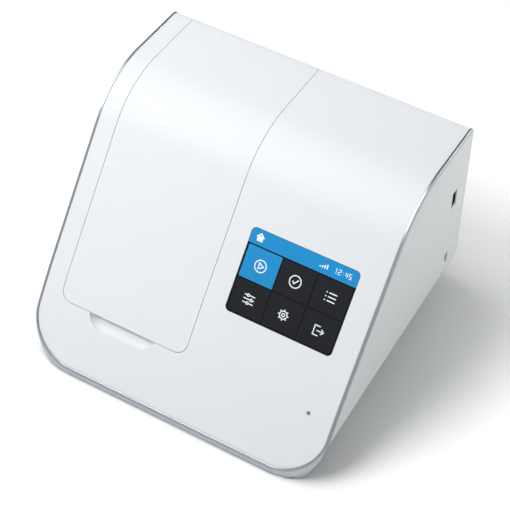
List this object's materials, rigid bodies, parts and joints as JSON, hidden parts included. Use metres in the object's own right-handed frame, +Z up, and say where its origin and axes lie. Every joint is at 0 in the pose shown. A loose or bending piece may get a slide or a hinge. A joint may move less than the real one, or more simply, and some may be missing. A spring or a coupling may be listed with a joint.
{
  "type": "rapid test reader",
  "caption": "Bench-top rapid test reader: sloped white front, grey trim, hinged lid over a heated two-step test well, touch display, rear and side sockets.",
  "frame": {"origin": "on the table, under the middle of the case's bounding box", "axes": "+X to the operator's right, +Y to the back, +Z up"},
  "size_m": [0.207, 0.1937, 0.145],
  "materials": {
    "white_cover": "semi-gloss white, fine even grain",
    "grey_trim": "satin mid grey",
    "light_housing": "satin light grey",
    "well_white": "satin off-white",
    "orange_holder": "satin orange",
    "blue_holder": "satin blue",
    "black_plastic": "satin black",
    "screen_glass": "black-backed touch glass",
    "clear_glass": "polished clear",
    "filter_glass": "coated coloured",
    "grey_lens": "smoked translucent",
    "rubber_foot": "matt black",
    "steel": "plain",
    "aluminium": "milled",
    "nickel": "nickel plated",
    "brass": "gold plated",
    "green_board": "soldermask green",
    "amber_film": "amber film",
    "foam": "closed-cell foam",
    "flat_cable": "white flat cable"
  },
  "bodies": {
    "case": {"rear_housing": "light_housing", "trim_band": "grey_trim", "front_cover": "white_cover", "base_tray": "light_housing", "rubber_feet": "rubber_foot", "base_screws": "steel", "hinge_brackets": "steel", "hinge_pins": "steel", "hinge_screws": "steel", "catch_plates": "steel", "lid_bumpers": "rubber_foot", "well_tub": "well_white", "test_base_holder": "orange_holder", "receiver_holder": "blue_holder", "base_heater_block": "aluminium", "receiver_heater_block": "aluminium", "heater_films": "amber_film", "heater_insulation": "foam", "heater_screws": "steel", "temperature_sensors": "nickel", "optics_housing": "black_plastic", "collection_lenses": "clear_glass", "emission_filters": "filter_glass", "excitation_leds": "grey_lens", "excitation_filters": "filter_glass", "photodiodes": "black_plastic", "optics_board": "green_board", "optics_screws": "steel", "touch_glass": "screen_glass", "display_gasket": "foam", "lcd_panel": "black_plastic", "display_frame": "steel", "display_screws": "steel", "display_ribbon": "flat_cable", "status_lens": "grey_lens", "status_board": "green_board", "main_board": "green_board", "main_board_screws": "steel", "board_chips": "black_plastic", "board_headers": "black_plastic", "cell_cup": "black_plastic", "coin_cell": "nickel", "speaker": "black_plastic", "io_board": "green_board", "io_screws": "steel", "rear_usb_sockets": "nickel", "network_socket": "black_plastic", "network_contacts": "brass", "power_jack": "black_plastic", "power_switch": "black_plastic", "side_usb_socket": "nickel", "side_usb_board": "green_board", "lock_plate": "steel"},
    "lid": {"lid_shell": "white_cover", "lid_liner": "well_white", "lid_screws": "steel", "lid_magnets": "nickel"},
    "button": {"power_button": "grey_trim"}
  },
  "joints": [
    {"name": "lid_hinge", "type": "hinge", "parent": "case", "child": "lid", "pos_m": [0, 0.0886, 0.13363], "axis": [-1, 0, 0], "range_deg": [0, 108]},
    {"name": "power_button_press", "type": "slide", "parent": "case", "child": "button", "axis": [0, -1, 0], "range_m": [0, 0.0015], "stiffness_N_per_m": 600, "springref_m": -0.0005}
  ]
}
